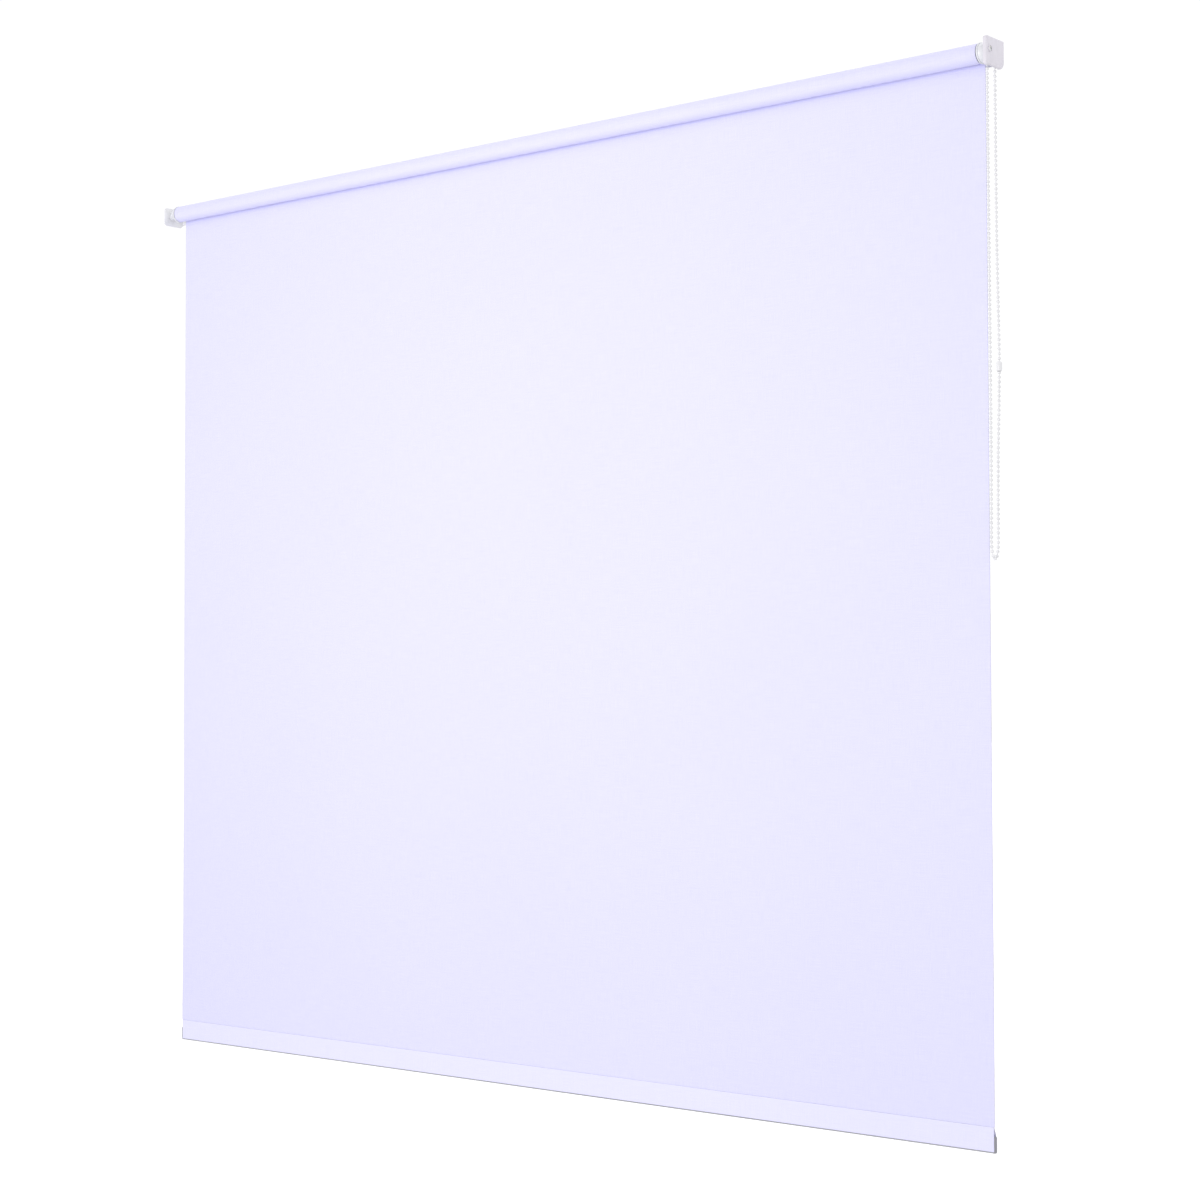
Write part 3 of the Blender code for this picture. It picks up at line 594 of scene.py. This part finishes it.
def hemShape(across, along):
    # front layer from its lower edge up, over the top and down the back
    side, height = 1, along
    fold = None
    if along > hemRise + hemFold:
        side, height = -1, hemLength - along
    elif along > hemRise:
        fold = pi * (along - hemRise) / hemFold
        height = hemRise
    x = clothSize["idleEdge"] + hemSettings["inset"] + across * (1 - 2 * hemSettings["inset"] / clothWidth)
    z = hemSettings["low"] + height
    above = eased((z - hemSettings["barTop"]) / (hemSettings["high"] - hemSettings["barTop"]))
    back = hemSettings["back"] + (hemSettings["front"] + hemSettings["neck"] - hemSettings["back"]) * above
    if fold is not None:
        middle = (hemSettings["front"] + back) / 2
        reach = (back - hemSettings["front"]) / 2
        return Vector((x, middle - reach * cos(fold), z + hemSettings["foldRise"] * sin(fold)))
    weld = exp(-((hemRise - height - hemSettings["weldDrop"]) / hemSettings["weldWide"]) ** 2)
    knurl = 0.7 + 0.3 * sin(x * hemSettings["knurl"])
    if side < 0:
        return Vector((x, back - hemSettings["weld"] * weld * knurl, z))
    low = eased(1 - height / (hemSettings["puckerHeight"] * hemRise))
    low *= eased(height / hemSettings["puckerStart"])
    pucker = noise.noise(Vector((x * 62, z * 190, 5.1))) + 0.7 * noise.noise(Vector((x * 19, z * 90, 9.4)))
    y = hemSettings["front"] + hemSettings["weld"] * weld * knurl - hemSettings["pucker"] * pucker * low
    return Vector((x, y, z))


hemCloth = addCloth("hemCloth", hemLength, hemSettings["columns"], hemSettings["rows"],
                    hemShape, "hem", "hem_pocket", "hem_cloth")

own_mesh(hangingCloth)
print("cloth hung, wound and hemmed")


# The hard pieces: each CAD node's mesh, merged and smoothed, in its own finish.

hardPieces = {
    "drive_bracket": "bracket_steel", "idle_bracket": "bracket_steel",
    "drive_cover": "cover_plastic", "drive_cover_screw": "zinc_steel",
    "clutch_spindle": "hub_plastic", "spindle_clip": "zinc_steel", "chain_wheel": "hub_plastic",
    "inner_wrap_spring": "spring_steel", "outer_wrap_spring": "spring_steel",
    "pin_spring": "spring_steel", "drive_crown": "white_plastic", "idle_plug": "white_plastic",
    "pin_bush": "white_plastic", "idle_pin": "hub_plastic", "roller_tube": "tube_aluminium",
    "fixing_tape": "fixing_tape", "hem_rail": "rail_aluminium", "hem_cap_drive": "cap_plastic",
    "hem_cap_idle": "cap_plastic",
}
hard = {node: smoothed(node, slot) for node, slot in hardPieces.items()}
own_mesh(hard["pin_spring"])
print("hard pieces finished:", len(hardPieces))


# Studio.

studioSettings = {
    "floor": -2.35,
    "floorSize": 120.0,
    "level": 1.04,     # light from the sides
    "down": 0.86,      # from below
    "behind": 1.70,    # from above and behind, which catches the top of the roll
    "front": 0.50,     # from above and in front, where the roll would shade the cloth
    "air": (0.99, 0.99, 1.0),
    "floorDark": (0.92, 0.92, 0.92),
    "floorLight": (0.95, 0.95, 0.95),
    "floorGlow": 0.16,
}


def addStudio(settings):
    world = bpy.data.worlds.new("studio")
    bpy.context.scene.world = world
    world.use_nodes = True
    wire = Wire(world.node_tree)
    way = wire.node("ShaderNodeTexCoord", out=0)
    level = way.part(2).between(-0.25, 0.0)   # 0 at 14 degrees below the horizon, 1 from it up
    above = way.part(2).between(0.30, 0.80)   # 0 up to 17 degrees above it, 1 from 53 degrees
    front = way.part(1).between(0.20, -0.30)  # 0 on the wall's side, 1 on the room's
    top = front * (settings["front"] - settings["behind"]) + (settings["behind"] - settings["level"])
    light = level * (settings["level"] - settings["down"]) + settings["down"] + above * top
    background = world.node_tree.nodes["Background"]
    background.inputs["Color"].default_value = rgba(settings["air"])
    world.node_tree.links.new(light.socket, background.inputs["Strength"])

    bm = bmesh.new()
    bmesh.ops.create_grid(bm, x_segments=8, y_segments=8, size=settings["floorSize"] / 2)
    bmesh.ops.translate(bm, verts=bm.verts, vec=(0, 0, settings["floor"]))
    mesh = meshFrom(bm, "floor", smooth=False)
    floor = addObject("floor", mesh)
    material, shader, wire = newFinish("floor", {"Emission Color": (1, 1, 1, 1),
                                                 "Emission Strength": settings["floorGlow"]})
    where = wire.node("ShaderNodeTexCoord", out=3)
    mottle = where.grain(2.5, 4.0)
    colour = blended(mottle, rgba(settings["floorDark"]), rgba(settings["floorLight"]))
    plug(wire, shader, colour, mottle * 0.1 + 0.7, mottle, 0.0005, 0.2)
    mesh.materials.append(material)
    floor.visible_diffuse = False


lampSettings = {
    "keyLamp": {"place": (-0.90, -2.2, -0.40), "aim": (-0.90, 0.0, -0.40), "size": 1.2,
                "power": 21.7, "colour": (1.0, 0.985, 0.985)},
    "sideLamp": {"place": (3.0, -1.2, -0.4), "aim": (0.0, 0.0, -0.5), "size": 1.4,
                 "power": 10.0, "colour": (1.0, 0.99, 0.99)},
}


def addLamp(name, place, aim, size, power, colour):
    data = bpy.data.lights.new(name, "AREA")
    data.shape = "DISK"
    data.size = size
    data.energy = power
    data.color = colour
    lamp = addObject(name, data)
    lamp.location = place
    lamp.rotation_euler = (Vector(aim) - Vector(place)).to_track_quat("-Z", "Y").to_euler()
    lamp.visible_camera = False


addStudio(studioSettings)
for lampName, values in lampSettings.items():
    addLamp(lampName, **values)
bpy.context.scene.view_settings.view_transform = "Standard"
bpy.context.scene.view_settings.look = "None"
print("studio lit")
